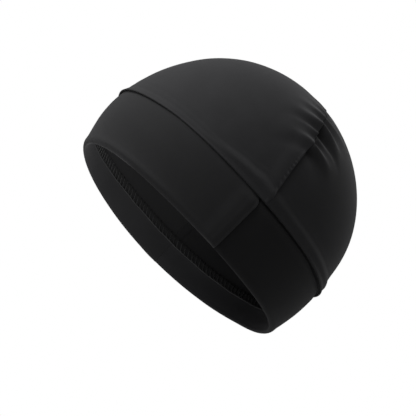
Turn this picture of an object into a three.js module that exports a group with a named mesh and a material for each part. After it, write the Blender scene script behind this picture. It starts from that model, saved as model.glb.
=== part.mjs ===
import * as THREE from "three";

// A close skull cap of stretch jersey, filled out as it is when worn. Millimetres, +Z up.
// The brow is towards -Y and the wearer's left towards +X.
// The origin is the middle of the mouth, level with the rim's front and back.

// Cloth
const CLOTH = 1.2;
const GAP = 0.3;
const LAP = 5.5;
const LAP_LAYERS = [
  { share: 0.25, droop: 0.3 },
  { share: 0.6, droop: 0.6 },
  { share: 1, droop: 0.9 },
];

// Band: the wall round the head, from the rim (rise 0) to the crown's foot (rise 1)
const BAND_HEIGHT = 45.4;
const RIM_DROP = 4.9;
const TOP_DROP = 4.3;
const BAND_SEAM_Y = 12;
const BAND_ROWS = [
  { rise: 0, halfLength: 92.7, halfBreadth: 77.4, shift: -0.4 },
  { rise: 0.5, halfLength: 98.6, halfBreadth: 80.4, shift: -1.2 },
  { rise: 1, halfLength: 99.4, halfBreadth: 79.0, shift: -1.15 },
];

// Section of the band's cloth. height is above the rim, proud is outwards from the wall, and the two
// inner columns place the cloth's other side. The rows run down the wall, round the fold and up the hem,
// where height is from the hem's ridge, to the flat overlocked edge above it.
const WALL_ROWS = [
  { height: 44.7, proud: -1.1, innerHeight: 44.7, innerProud: -2.3, hem: false },
  { height: 42.2, proud: -0.2, innerHeight: 42.2, innerProud: -1.4, hem: false },
  { height: 38.5, proud: 0, innerHeight: 38.5, innerProud: -1.2, hem: false },
  { height: 33, proud: 0, innerHeight: 33, innerProud: -1.2, hem: false },
  { height: 26, proud: 0, innerHeight: 26, innerProud: -1.2, hem: false },
  { height: 10, proud: 0, innerHeight: 10, innerProud: -1.2, hem: false },
  { height: 3.5, proud: 0.4, innerHeight: 3.7, innerProud: -0.8, hem: false },
  { height: 0.7, proud: -0.5, innerHeight: 1.7, innerProud: -1.25, hem: false },
  { height: 0, proud: -1.6, innerHeight: 1.3, innerProud: -1.6, hem: false },
  { height: 0.7, proud: -2.7, innerHeight: 1.7, innerProud: -1.95, hem: false },
  { height: 3, proud: -3.3, innerHeight: 3.2, innerProud: -2.1, hem: false },
  { height: 0, proud: -3.3, innerHeight: 0, innerProud: -2.1, hem: true },
  { height: 1.2, proud: -2.7, innerHeight: 1.2, innerProud: -1.6, hem: true },
  { height: 5.5, proud: -2.6, innerHeight: 5.5, innerProud: -1.5, hem: true },
];
const HEM_SIDE = 18.8;
const HEM_BROW = 10.8;
const HEM_NARROWING = 2.2;
const UNDER_CROWN = [6, 3, 0.8];

// Crown: an egg-shaped dome on the band
const CROWN = { halfLength: 98.2, halfBreadth: 77.8, rise: 98 };
const CROWN_WIDENING = 0.055;
const CROWN_LEAN = [
  { at: 0, by: -1 },
  { at: 0.5, by: 1 },
  { at: 1, by: 0.4 },
];

// Cross seam: over the top from side to side. Down the gathers it leans back a little, and it swings
// back at its two feet. The places are ways along the seam from the middle.
const SEAM_TOP_Y = 6.9;
const SEAM_LEAN = 2.9;
const SEAM_LEAN_FROM = 48;
const SEAM_LEAN_TO = 80;
const SEAM_SWING_FROM = 84;
const SEAM_SWING_POWER = 1.7;
const SEAM_FOOT_Y = 16;
const SEAM_TOP_REACH = 70;

// At the brow and the neck the band seam dips, and the band lies a little further in. Both come in over
// the last part of the length, as shares of the half length.
const END_FROM = 0.6;
const END_OVER = 0.35;
const BROW_DIP = 0.75;
const NECK_DIP = 1;
const DIP_REACH = 14;
const BAND_DIP_FROM = 20;
const BROW_TUCK = 0.3;
const NECK_TUCK = 0.5;
const NAPE_FROM = 0.86;
const NAPE_LOW = 0.8;
const NAPE_OUT = 0.4;

// How proud the cloth stands, by the distance from an edge. The crown's foot flares plainly in front,
// and has a ridge over the rest.
const CROWN_FOOT_PLAIN = [
  { at: 0, by: 1.95 },
  { at: 2.2, by: 1.4 },
  { at: 6, by: 0.6 },
  { at: 10, by: 0.2 },
  { at: 18, by: 0 },
];
const CROWN_FOOT_RIDGE = [
  { at: 0, by: 1.5 },
  { at: 5, by: 2.2 },
  { at: 9.2, by: 0.25 },
  { at: 12, by: -0.1 },
  { at: 26, by: 0 },
];
const RIDGE_SHARE = [
  { at: -48, by: 0 },
  { at: -5, by: 1 },
  { at: 12, by: 1 },
  { at: 24, by: 0.6 },
  { at: 60, by: 0.65 },
];
// How far the foot's ridge spreads up the crown, by the place from the brow to the neck
const FOOT_SPREAD = [
  { at: -100, by: 0.6 },
  { at: -71, by: 0.75 },
  { at: -45, by: 0.9 },
  { at: -8, by: 1.38 },
  { at: 4, by: 1.6 },
  { at: 14, by: 1.45 },
  { at: 40, by: 1.2 },
  { at: 100, by: 1.1 },
];
// How much fuller the foot is at the brow and the neck, and how far up that reaches
const FOOT_FULLNESS = [
  { at: -100, by: 1.4 },
  { at: -85, by: 0.6 },
  { at: -55, by: 0 },
  { at: 55, by: 0 },
  { at: 85, by: 0.9 },
  { at: 100, by: 1.3 },
];
const FULLNESS_REACH = 4.8;
const OVER_EDGE = [
  { at: 0, by: 0.6 },
  { at: 1.5, by: 0.9 },
  { at: 5, by: 1.1 },
  { at: 9, by: 0.5 },
  { at: 15, by: 0 },
];
const UNDER_EDGE = [
  { at: 0, by: -0.9 },
  { at: 3, by: -0.45 },
  { at: 9, by: 0 },
];
const BAND_EDGE_FADE = 6;

// Gathers across the cross seam, the same on both sides of the middle. at is the way along the seam from
// the middle, and each fold leans outwards by lean for each millimetre from the seam.
const FOLDS = [
  { at: 0, height: 0.7, width: 3.4, frontReach: 20, frontLean: 0, backReach: 22, backLean: 0 },
  { at: 12, height: 0.8, width: 3.2, frontReach: 17, frontLean: 0.15, backReach: 24, backLean: -0.04 },
  { at: 24, height: 0.9, width: 3.2, frontReach: 21, frontLean: 0.2, backReach: 26, backLean: -0.1 },
  { at: 35, height: 0.9, width: 3.2, frontReach: 20, frontLean: 0.26, backReach: 26, backLean: -0.2 },
  { at: 44.5, height: 1.5, width: 3.2, frontReach: 32, frontLean: 0.34, backReach: 34, backLean: -0.2 },
  { at: 54.5, height: 2.5, width: 3.1, frontReach: 40, frontLean: 0.3, backReach: 38, backLean: -0.03 },
  { at: 66, height: 1.6, width: 2.9, frontReach: 31, frontLean: 0.26, backReach: 30, backLean: -0.22 },
  { at: 74.8, height: 2, width: 3.2, frontReach: 33, frontLean: 0.2, backReach: 38, backLean: -0.26 },
];
// The gathered cloth as a whole lies a little lower than the rest
const FOLD_SINK = 0.8;
const SINK_REACH = 24;
const SINK_FROM = 70;
const SINK_TO = 84;

// Grid
const SEAM_COLUMNS = 22;
const SIDE_COLUMNS = [1.5, 4.5, 9, 14];
const FOOT_ROWS = [0, 1.6, 4.5, 8.5, 13.5, 20];
const TOP_ROWS = [30, 21, 13.5, 7.5, 3, 0];
const MIDDLE_ROWS = 4;
const BAND_STEP = 12;
const BAND_EDGE_COLUMNS = [1.6, 5, 9, 14];

const FRONT = -1;
const BACK = 1;

function smooth(t) {
  const k = Math.min(1, Math.max(0, t));
  return k * k * (3 - 2 * k);
}

// The value of a table of { at, by } rows, eased from row to row
function lookUp(rows, at) {
  const next = rows.findIndex((row) => row.at > at);
  if (next === 0) return rows[0].by;
  if (next < 0) return rows[rows.length - 1].by;
  const [low, high] = [rows[next - 1], rows[next]];
  return low.by + (high.by - low.by) * smooth((at - low.at) / (high.at - low.at));
}

// A column of BAND_ROWS at a rise, on the parabola through its three rows
function bandSize(column, rise) {
  const [foot, middle, top] = BAND_ROWS.map((row) => row[column]);
  const bend = 4 * rise * (1 - rise);
  return foot + (top - foot) * rise + (middle - (foot + top) / 2) * bend;
}

// A cloth piece while it is made: matching points of its two sides, and the faces of its outer side
function newCloth() {
  return { outer: [], inner: [], faces: [] };
}

function addPoint(cloth, outer, inner) {
  cloth.outer.push(outer);
  cloth.inner.push(inner);
  return cloth.outer.length - 1;
}

function addGrid(cloth, grid, flip) {
  for (let i = 0; i + 1 < grid.length; i += 1) {
    for (let j = 0; j + 1 < grid[i].length; j += 1) {
      const [a, b, c, d] = [grid[i][j], grid[i + 1][j], grid[i + 1][j + 1], grid[i][j + 1]];
      const pair = flip ? [[a, c, b], [a, d, c]] : [[a, b, c], [a, c, d]];
      cloth.faces.push(...pair);
    }
  }
}

// Closes a cloth piece: its inner side is the outer one turned over, and a wall joins them at each free edge
function closed(cloth) {
  const count = cloth.outer.length;
  const edges = new Map();
  cloth.faces.forEach(([a, b, c]) => {
    [[a, b], [b, c], [c, a]].forEach(([from, to]) => edges.set(`${from} ${to}`, [from, to]));
  });
  const free = [...edges.values()].filter(([from, to]) => !edges.has(`${to} ${from}`));
  const inner = cloth.faces.map(([a, b, c]) => [a + count, c + count, b + count]);
  const walls = free.flatMap(([from, to]) => [
    [to, from, from + count],
    [to, from + count, to + count],
  ]);
  const points = [...cloth.outer, ...cloth.inner];
  const geometry = new THREE.BufferGeometry();
  geometry.setAttribute("position", new THREE.Float32BufferAttribute(points.flatMap((p) => p.toArray()), 3));
  geometry.setIndex([...cloth.faces, ...inner, ...walls].flat());
  geometry.computeVertexNormals();
  return geometry;
}

// Crown

// The dome's places are kept in its own frame, from its foot up, before it is widened, leaned and dropped
function domeHeight(x, y) {
  const { halfLength, halfBreadth, rise } = CROWN;
  return rise * Math.sqrt(Math.max(0, 1 - (x / halfBreadth) ** 2 - (y / halfLength) ** 2));
}

function domeNormal(p) {
  const { halfLength, halfBreadth, rise } = CROWN;
  return new THREE.Vector3(p.x / halfBreadth ** 2, p.y / halfLength ** 2, p.z / rise ** 2).normalize();
}

// The nearest place of the dome on the line from its centre
function onDome(p) {
  const { halfLength, halfBreadth, rise } = CROWN;
  return p.clone().divideScalar(Math.hypot(p.x / halfBreadth, p.y / halfLength, p.z / rise));
}

// A value that comes in at the brow and another at the neck, by the share of the half length
function endShare(share, brow, neck) {
  return brow * smooth((-share - END_FROM) / END_OVER) + neck * smooth((share - END_FROM) / END_OVER);
}

function raised(p, lift) {
  const q = p.clone().addScaledVector(domeNormal(p), lift);
  q.x *= 1 + CROWN_WIDENING * smooth(p.z / CROWN.rise);
  q.y += lookUp(CROWN_LEAN, p.z / CROWN.rise);
  const dip = endShare(p.y / CROWN.halfLength, BROW_DIP, NECK_DIP) * (1 - smooth(p.z / DIP_REACH));
  q.z += BAND_HEIGHT - TOP_DROP * (p.x / CROWN.halfBreadth) ** 2 - dip;
  return q;
}

const SEAM_FOOT_X = CROWN.halfBreadth * Math.sqrt(1 - (SEAM_FOOT_Y / CROWN.halfLength) ** 2);

function alongSeam(x) {
  const share = Math.min(1, Math.max(-1, x / CROWN.halfBreadth));
  return CROWN.halfBreadth * Math.asin(share);
}

function seamY(x) {
  const along = Math.abs(alongSeam(x));
  const lean = SEAM_LEAN * smooth((along - SEAM_LEAN_FROM) / (SEAM_LEAN_TO - SEAM_LEAN_FROM));
  const low = (along - SEAM_SWING_FROM) / (alongSeam(SEAM_FOOT_X) - SEAM_SWING_FROM);
  const swing = (SEAM_FOOT_Y - SEAM_TOP_Y - SEAM_LEAN) * Math.max(0, low) ** SEAM_SWING_POWER;
  return SEAM_TOP_Y + lean + swing;
}

function foldLift(p, facing, fromSeam) {
  const along = Math.abs(alongSeam(p.x));
  const sink = (1 - smooth((along - SINK_FROM) / (SINK_TO - SINK_FROM))) * (1 - smooth(fromSeam / SINK_REACH));
  return FOLDS.reduce((sum, fold) => {
    const reach = facing === FRONT ? fold.frontReach : fold.backReach;
    const lean = facing === FRONT ? fold.frontLean : fold.backLean;
    const off = (along - fold.at - lean * fromSeam) / fold.width;
    const mirror = (along + fold.at + lean * fromSeam) / fold.width;
    const ridge = Math.exp(-off * off) + (fold.at > 0 ? Math.exp(-mirror * mirror) : 0);
    return sum + fold.height * ridge * (1 - smooth(fromSeam / reach));
  }, -FOLD_SINK * sink);
}

function footLift(y, above) {
  const full = lookUp(FOOT_FULLNESS, y) * (1 - smooth(above / FULLNESS_REACH));
  const plain = lookUp(CROWN_FOOT_PLAIN, above);
  const ridge = lookUp(CROWN_FOOT_RIDGE, above / lookUp(FOOT_SPREAD, y));
  return full + plain + (ridge - plain) * lookUp(RIDGE_SHARE, y);
}

function crownLift(p, facing) {
  const fromSeam = Math.abs(p.y - seamY(p.x));
  const foot = footLift(p.y, p.z);
  const edge = lookUp(facing === FRONT ? OVER_EDGE : UNDER_EDGE, fromSeam);
  const ridge = Math.cbrt(Math.max(0, foot) ** 3 + Math.max(0, edge) ** 3);
  return ridge + Math.min(0, foot) + Math.min(0, edge) + foldLift(p, facing, fromSeam);
}

function addCrownPoint(cloth, p, lift) {
  return addPoint(cloth, raised(p, lift), raised(p, lift - CLOTH));
}

// One line of the panel from its foot up to the seam. share runs from one side of the cap to the other.
function domeLine(facing, share) {
  const clear = facing === BACK ? GAP : 0;
  const start = Math.asin((SEAM_FOOT_Y + clear) / CROWN.halfLength);
  const angle = start + facing * share * (Math.PI - facing * 2 * start);
  const foot = { x: CROWN.halfBreadth * Math.cos(angle), y: CROWN.halfLength * Math.sin(angle) };
  const topX = SEAM_TOP_REACH * Math.cos(Math.PI * share);
  const footward = foot.y - seamY(foot.x) - clear;
  const steps = 90;
  const line = [];
  for (let k = 0; k <= steps; k += 1) {
    const near = Math.cos((Math.PI / 2) * (k / steps));
    const x = topX * (1 - near) + foot.x * near;
    const y = seamY(x) + clear + footward * near;
    line.push(new THREE.Vector3(x, y, k ? domeHeight(x, y) : 0));
  }
  return line;
}

function spacedRows(length) {
  const half = 0.45 * length;
  const footScale = Math.min(1, half / FOOT_ROWS[FOOT_ROWS.length - 1]);
  const topScale = Math.min(1, half / TOP_ROWS[0]);
  const foot = FOOT_ROWS.map((d) => d * footScale);
  const top = TOP_ROWS.map((d) => length - d * topScale);
  const [from, to] = [foot[foot.length - 1], top[0]];
  const middle = Array.from({ length: MIDDLE_ROWS }, (_, k) => from + ((to - from) * (k + 1)) / (MIDDLE_ROWS + 1));
  return [...foot, ...middle, ...top];
}

// The places at the wanted distances along a line of points
function placesAlong(line) {
  const lengths = [0];
  for (let k = 1; k < line.length; k += 1) lengths.push(lengths[k - 1] + line[k].distanceTo(line[k - 1]));
  const total = lengths[lengths.length - 1];
  return spacedRows(total).map((d) => {
    const next = Math.max(1, lengths.findIndex((length) => length >= d - 1e-9));
    const share = (d - lengths[next - 1]) / (lengths[next] - lengths[next - 1]);
    const p = line[next - 1].clone().lerp(line[next], Math.min(1, share));
    return d > 0 && d < total ? onDome(p) : p;
  });
}

// Shares of the panel's lines: close at its two side edges, then evenly along the seam's top
function columnShares(facing) {
  const footLength = Math.PI * 0.5 * (CROWN.halfLength + CROWN.halfBreadth) - facing * 2 * SEAM_FOOT_Y;
  const reach = alongSeam(SEAM_TOP_REACH);
  const side = [0, ...SIDE_COLUMNS.map((d) => d / footLength)];
  const half = [];
  for (let k = SEAM_COLUMNS - 1; k > 0; k -= 1) {
    const x = CROWN.halfBreadth * Math.sin((reach * k) / SEAM_COLUMNS / CROWN.halfBreadth);
    half.push(Math.acos(x / SEAM_TOP_REACH) / Math.PI);
  }
  const left = [...side, ...half];
  return [...left, 0.5, ...left.map((share) => 1 - share).reverse()];
}

function crownPanel(facing) {
  const cloth = newCloth();
  const places = columnShares(facing).map((share) => placesAlong(domeLine(facing, share)));
  const grid = places.map((column) => column.map((p) => addCrownPoint(cloth, p, crownLift(p, facing))));
  addGrid(cloth, grid, facing === FRONT);
  if (facing === BACK) addCrownLap(cloth, places, grid);
  return closed(cloth);
}

// The back panel's edge, run on under the front panel from above one foot of the seam to above the other
function addCrownLap(cloth, places, grid) {
  const first = FOOT_ROWS.length - 2;
  const end = places.length - 1;
  const up = places[0].slice(first).map((p, k) => ({ p, id: grid[0][first + k] }));
  const over = places.map((column, i) => ({ p: column[column.length - 1], id: grid[i][column.length - 1] }));
  const down = places[end].slice(first).map((p, k) => ({ p, id: grid[end][first + k] })).reverse();
  const path = [...up, ...over.slice(1, -1), ...down];
  const rows = path.map(({ p, id }) => {
    const layers = LAP_LAYERS.map(({ share, droop }) => {
      const q = onDome(p.clone().add(new THREE.Vector3(0, -LAP * share, 0)));
      return addCrownPoint(cloth, q, crownLift(q, FRONT) - CLOTH - GAP - droop);
    });
    return [id, ...layers];
  });
  addGrid(cloth, rows, false);
}

// Band

function bandPlace(angle, height, proud) {
  const rise = height / BAND_HEIGHT;
  const [a, b] = [bandSize("halfBreadth", rise), bandSize("halfLength", rise)];
  const out = new THREE.Vector3(Math.cos(angle) / a, Math.sin(angle) / b, 0).normalize();
  const round = (RIM_DROP + (TOP_DROP - RIM_DROP) * rise) * Math.cos(angle) ** 2;
  const top = smooth((height - BAND_DIP_FROM) / (BAND_HEIGHT - BAND_DIP_FROM));
  const nape = smooth((Math.sin(angle) - NAPE_FROM) / (1 - NAPE_FROM)) * Math.max(0, 1 - rise);
  const drop = round + endShare(Math.sin(angle), BROW_DIP, NECK_DIP) * top + NAPE_LOW * nape * (1 - rise);
  const wall = new THREE.Vector3(a * Math.cos(angle), b * Math.sin(angle) + bandSize("shift", rise), height - drop);
  return wall.addScaledVector(out, proud - endShare(Math.sin(angle), BROW_TUCK, NECK_TUCK) + NAPE_OUT * nape);
}

// How proud the band's wall is near its two side seams, where the front band lies over the back one
function bandLift(facing, fromSeam, height) {
  const edge = lookUp(facing === FRONT ? OVER_EDGE : UNDER_EDGE, fromSeam);
  return edge * smooth((WALL_ROWS[0].height - height) / BAND_EDGE_FADE);
}

function hemTop(angle) {
  const brow = Math.max(0, -Math.sin(angle)) ** HEM_NARROWING;
  return HEM_SIDE + (HEM_BROW - HEM_SIDE) * brow;
}

// The crown dips at the cross seam's foot, and the band's top edge with it
function footDip(angle) {
  const fromSeam = Math.abs(CROWN.halfLength * Math.sin(angle) - SEAM_FOOT_Y);
  return UNDER_EDGE[0].by * (1 - smooth(fromSeam / (2 * LAP)));
}

function underCrown(angle, above) {
  const { halfLength, halfBreadth } = CROWN;
  const p = onDome(new THREE.Vector3(halfBreadth * Math.cos(angle), halfLength * Math.sin(angle), above));
  const lift = footLift(p.y, above) + footDip(angle) - CLOTH - 1.5 * GAP;
  return [raised(p, lift), raised(p, lift - CLOTH)];
}

function bandColumn(cloth, facing, angle, fromSeam) {
  const lapped = UNDER_CROWN.map((above) => addPoint(cloth, ...underCrown(angle, above)));
  const wall = WALL_ROWS.map((row, k) => {
    const onWall = k < WALL_ROWS.findIndex((other) => other.height === 0);
    const dip = k === 0 ? footDip(angle) : 0;
    const lift = (onWall ? bandLift(facing, fromSeam, row.height) : 0) + dip;
    const extra = row.hem ? hemTop(angle) : 0;
    const outer = bandPlace(angle, row.height + extra, row.proud + lift);
    const inner = bandPlace(angle, row.innerHeight + extra, row.innerProud + lift);
    return addPoint(cloth, outer, inner);
  });
  return [...lapped, ...wall];
}

// Angles of the band's columns with their distance from the nearer side seam
function bandColumns(facing) {
  const [a, b] = [bandSize("halfBreadth", 0.5), bandSize("halfLength", 0.5)];
  const edge = facing === BACK ? GAP : 0;
  const start = Math.asin(BAND_SEAM_Y / b) + (facing * edge) / b;
  const span = Math.PI - facing * 2 * start;
  const half = (span * (a + b)) / 4;
  const last = BAND_EDGE_COLUMNS[BAND_EDGE_COLUMNS.length - 1];
  const count = Math.round((half - last) / BAND_STEP);
  const even = Array.from({ length: count }, (_, k) => last + ((half - last) * (k + 1)) / count);
  const near = [0, ...BAND_EDGE_COLUMNS, ...even];
  const whole = [...near, ...near.slice(0, -1).reverse().map((d) => 2 * half - d)];
  return whole.map((d) => ({
    angle: start + (facing * span * d) / (2 * half),
    fromSeam: Math.min(d, 2 * half - d) + edge,
  }));
}

function bandPanel(facing) {
  const cloth = newCloth();
  const columns = bandColumns(facing);
  const grid = columns.map(({ angle, fromSeam }) => bandColumn(cloth, facing, angle, fromSeam));
  addGrid(cloth, grid, facing === BACK);
  if (facing === BACK) {
    addBandLap(cloth, columns[0].angle, grid[0], -1);
    addBandLap(cloth, columns[columns.length - 1].angle, grid[grid.length - 1], 1);
  }
  return closed(cloth);
}

// The back band's end, run on under the front band between the crown's foot and the hem
function addBandLap(cloth, angle, column, way) {
  const [from, to] = [2, 5];
  const halfLength = bandSize("halfLength", 0.5);
  const layers = LAP_LAYERS.map(({ share, droop }) => {
    const turned = angle + (way * LAP * share) / halfLength;
    return WALL_ROWS.slice(from, to).map((row) => {
      const lift = bandLift(FRONT, LAP * share, row.height) - CLOTH - GAP - droop / 3;
      const outer = bandPlace(turned, row.height, row.proud + lift);
      return addPoint(cloth, outer, bandPlace(turned, row.innerHeight, row.innerProud + lift));
    });
  });
  const edge = column.slice(UNDER_CROWN.length + from, UNDER_CROWN.length + to);
  addGrid(cloth, [edge, ...layers], way > 0);
}

function piece(name, geometry, colour) {
  const material = new THREE.MeshStandardMaterial({ color: colour, roughness: 0.85, metalness: 0 });
  material.name = name;
  const mesh = new THREE.Mesh(geometry, material);
  mesh.name = name;
  return mesh;
}

const group = new THREE.Group();
group.add(piece("crown_front", crownPanel(FRONT), 0x1d1d20));
group.add(piece("crown_back", crownPanel(BACK), 0x1c1c1f));
group.add(piece("band_front", bandPanel(FRONT), 0x1b1b1e));
group.add(piece("band_back", bandPanel(BACK), 0x1a1a1d));

export default group;
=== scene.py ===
import math

import bpy
import numpy as np
from mathutils import Matrix, Vector


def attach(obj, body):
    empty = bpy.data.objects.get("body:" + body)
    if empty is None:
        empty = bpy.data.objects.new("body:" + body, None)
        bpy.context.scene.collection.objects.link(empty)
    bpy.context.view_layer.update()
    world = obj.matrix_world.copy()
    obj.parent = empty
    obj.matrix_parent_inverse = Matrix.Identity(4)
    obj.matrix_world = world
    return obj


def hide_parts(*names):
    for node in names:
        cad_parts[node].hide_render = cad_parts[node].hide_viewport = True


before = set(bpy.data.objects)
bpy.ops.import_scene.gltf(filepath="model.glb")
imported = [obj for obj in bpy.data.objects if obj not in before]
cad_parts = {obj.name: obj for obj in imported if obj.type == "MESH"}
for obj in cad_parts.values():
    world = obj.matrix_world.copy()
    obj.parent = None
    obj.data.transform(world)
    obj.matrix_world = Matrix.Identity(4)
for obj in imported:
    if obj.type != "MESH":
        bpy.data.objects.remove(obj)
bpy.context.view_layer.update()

# A close skull cap of stretch jersey: two crown panels gathered at a seam over the top, a band of two
# panels round the head, and an overlocked hem turned up inside it. The cloth is worked out in
# millimetres, +Z up and the brow towards -Y, and made in metres.

MM = 0.001
FRONT = -1
BACK = 1

# Cloth
CLOTH = 1.2
GAP = 0.3
BUTT = 0.04
LAP = 5.5
LAP_SHARES = [0.12, 0.25, 0.45, 0.7, 0.9, 1.0]
LAP_DROOP = 0.9
LAP_DROOP_POWER = 1.3
LAP_FOOT = 8.5
EDGE_ROUND = 0.6
FOOT_EDGE_ROUND = [
    {"at": -30, "by": 0.35},
    {"at": 5, "by": 0.7},
    {"at": 30, "by": 0.9},
]

# Band: the wall round the head, from the rim (rise 0) to the crown's foot (rise 1)
BAND_HEIGHT = 45.4
RIM_DROP = 4.9
TOP_DROP = 4.3
BAND_SEAM_Y = 12.0
BAND_ROWS = [
    {"rise": 0.0, "half_length": 92.7, "half_breadth": 77.4, "shift": -0.4},
    {"rise": 0.5, "half_length": 98.6, "half_breadth": 80.4, "shift": -1.2},
    {"rise": 1.0, "half_length": 99.4, "half_breadth": 79.0, "shift": -1.15},
]

# The band's top edge runs on under the crown to these heights above the crown's foot
UNDER_CROWN = [6.0, 3.0, 0.8]
UNDER_CROWN_GAP = 1.5 * GAP

# Section of the band's cloth, down the wall, round the fold and up the hem. Hem rows are measured from
# the needle line. proud is outwards from the wall, and the inner columns place the cloth's other side.
PLAIN_HEIGHTS = [45.0, 43.2, 40.5, 33.0, 26.0, 6.4]
WALL_ROWS = [
    {"height": height, "proud": 0.0, "inner_height": height, "inner_proud": -CLOTH, "hem": False}
    for height in PLAIN_HEIGHTS
]
WALL_ROWS += [
    {"height": 1.6, "proud": 0.3, "inner_height": 2.4, "inner_proud": -0.85, "hem": False},
    {"height": 0.3, "proud": -0.6, "inner_height": 1.55, "inner_proud": -1.25, "hem": False},
    {"height": 0.0, "proud": -1.6, "inner_height": 1.3, "inner_proud": -1.6, "hem": False},
    {"height": 0.7, "proud": -2.7, "inner_height": 1.7, "inner_proud": -1.95, "hem": False},
    {"height": 3.0, "proud": -3.3, "inner_height": 3.2, "inner_proud": -2.1, "hem": False},
    {"height": -1.0, "proud": -3.3, "inner_height": -1.0, "inner_proud": -2.1, "hem": True},
    {"height": 0.0, "proud": -3.35, "inner_height": 0.0, "inner_proud": -2.1, "hem": True},
    {"height": 0.8, "proud": -2.8, "inner_height": 0.8, "inner_proud": -1.8, "hem": True},
    {"height": 5.6, "proud": -2.75, "inner_height": 5.6, "inner_proud": -1.6, "hem": True},
    {"height": 6.4, "proud": -2.5, "inner_height": 6.4, "inner_proud": -1.7, "hem": True},
]
SHOULDER_ROWS = WALL_ROWS[:2]
FOLD_ROW = len(UNDER_CROWN) + 8
NEEDLE_ROW = FOLD_ROW + 4
HEM_SIDE = 18.8
HEM_BROW = 10.8
HEM_NARROWING = 2.2
HEM_WAVE = 0.12

# Crown: an egg-shaped dome on the band
CROWN = {"half_length": 98.2, "half_breadth": 77.8, "rise": 98.0}
RADII = np.array([CROWN["half_breadth"], CROWN["half_length"], CROWN["rise"]])
CROWN_WIDENING = 0.055
CROWN_LEAN = [
    {"at": 0, "by": -1},
    {"at": 0.5, "by": 1},
    {"at": 1, "by": 0.4},
]

# Cross seam: over the top from side to side. Down the gathers it leans back a little, and it swings
# back at its two feet. It sways slightly down to its plain lower part. The places are ways along the
# seam from the middle, and the swing may run on past the foot by a small share.
SEAM_TOP_Y = 6.9
SEAM_LEAN = 2.9
SEAM_LEAN_FROM = 48.0
SEAM_LEAN_TO = 80.0
SEAM_SWING_FROM = 84.0
SEAM_SWING_POWER = 1.7
SEAM_FOOT_Y = 16.0
SEAM_PAST_FOOT = 1.02
SEAM_TOP_REACH = 70.0
SEAM_SWAY = 0.45
SEAM_SWAY_PITCH = 11.5
SEAM_SWAY_END = [68.0, 82.0]

# Side seam's allowance: a strip behind the two edges, close to each panel's inner side. The tables are
# how far in it lies, by the height.
ALLOWANCE = 3.2
ALLOWANCE_FOOT = 1.6
ALLOWANCE_TOP = 47.5
ALLOWANCE_THICK = 0.5
ALLOWANCE_THINNING = 0.9
ALLOWANCE_TURN = 1.5
ALLOWANCE_OVER_FRONT = [
    {"at": 1, "by": -1.3},
    {"at": 40, "by": -1.3},
    {"at": 44.4, "by": -2.5},
    {"at": 47.5, "by": -3.2},
]
ALLOWANCE_OVER_BACK = [
    {"at": 1, "by": -1.35},
    {"at": 10, "by": -1.55},
    {"at": 40, "by": -1.6},
    {"at": 44.4, "by": -2.9},
    {"at": 47.5, "by": -3.2},
]

# At the brow and the neck the band seam dips, and the band lies a little further in. Both come in over
# the last part of the length, as shares of the half length. At the nape the rim hangs a little lower and
# further out.
END_FROM = 0.6
END_OVER = 0.35
BROW_DIP = 1.35
NECK_DIP = 1.0
DIP_REACH = 14.0
BAND_DIP_FROM = 20.0
BROW_TUCK = 0.3
NECK_TUCK = 0.5
NAPE_FROM = 0.86
NAPE_LOW = 0.8
NAPE_OUT = 0.4

# How proud the cloth stands, by the distance from an edge. The crown's foot is plain in front, and
# has a ridge over the rest.
CROWN_FOOT_PLAIN = [
    {"at": 0, "by": 1.8},
    {"at": 2.2, "by": 1.35},
    {"at": 6, "by": 0.7},
    {"at": 10, "by": 0.3},
    {"at": 18, "by": 0},
]
CROWN_FOOT_RIDGE = [
    {"at": 0, "by": 1.7},
    {"at": 2.2, "by": 1.6},
    {"at": 4.9, "by": 2.85},
    {"at": 9.8, "by": 0.2},
    {"at": 12.5, "by": -0.12},
    {"at": 26, "by": 0},
]
RIDGE_SHARE = [
    {"at": -48, "by": 0},
    {"at": -5, "by": 1},
    {"at": 12, "by": 1},
    {"at": 24, "by": 0.6},
    {"at": 60, "by": 0.65},
]
# How far the foot's ridge spreads up the crown, by the place from the brow to the neck
FOOT_SPREAD = [
    {"at": -100, "by": 0.55},
    {"at": -71, "by": 0.75},
    {"at": -45, "by": 0.9},
    {"at": -8, "by": 1.38},
    {"at": 4, "by": 1.6},
    {"at": 14, "by": 1.45},
    {"at": 40, "by": 1.2},
    {"at": 100, "by": 1.1},
]
# How much fuller the crown's foot is at the brow and the neck, and how far up that reaches
FOOT_FULLNESS = [
    {"at": -100, "by": 1.0},
    {"at": -85, "by": 0.6},
    {"at": -55, "by": 0},
    {"at": 55, "by": 0},
    {"at": 85, "by": 0.9},
    {"at": 100, "by": 1.3},
]
FULLNESS_REACH = 4.8
# The cross seam's step fades out over the foot's ridge, between these heights, and is slighter across
# the gathers, up to this way along the seam
STEP_FADE = [3.5, 10.0]
GATHER_STEP = 0.35
GATHER_END = [74.0, 84.0]
CROWN_OVER_EDGE = [
    {"at": 0, "by": 0.7},
    {"at": 1.0, "by": 0.9},
    {"at": 2.4, "by": 0.7},
    {"at": 6, "by": 0.8},
    {"at": 15, "by": 0},
]
BAND_OVER_EDGE = [
    {"at": 0, "by": 0.85},
    {"at": 0.7, "by": 0.95},
    {"at": 1.7, "by": 0.55},
    {"at": 4.9, "by": 1.25},
    {"at": 8, "by": 1.1},
    {"at": 17, "by": 0},
]
UNDER_EDGE = [
    {"at": 0, "by": -0.9},
    {"at": 3, "by": -0.45},
    {"at": 9, "by": 0},
]
BAND_EDGE_FADE = 6.0
# The rolled hem stands a little proud along the front of both sides, by the place from brow to neck
FLARE_ROW = 6
HEM_FLARE = [
    {"at": -100, "by": 0.2},
    {"at": -80, "by": 0.7},
    {"at": -50, "by": 0.6},
    {"at": -15, "by": 0.1},
    {"at": 5, "by": -0.1},
]
# How much of this shows on the band's inner side
INNER_SHARE = {FRONT: 0.0, BACK: 0.35}
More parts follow.
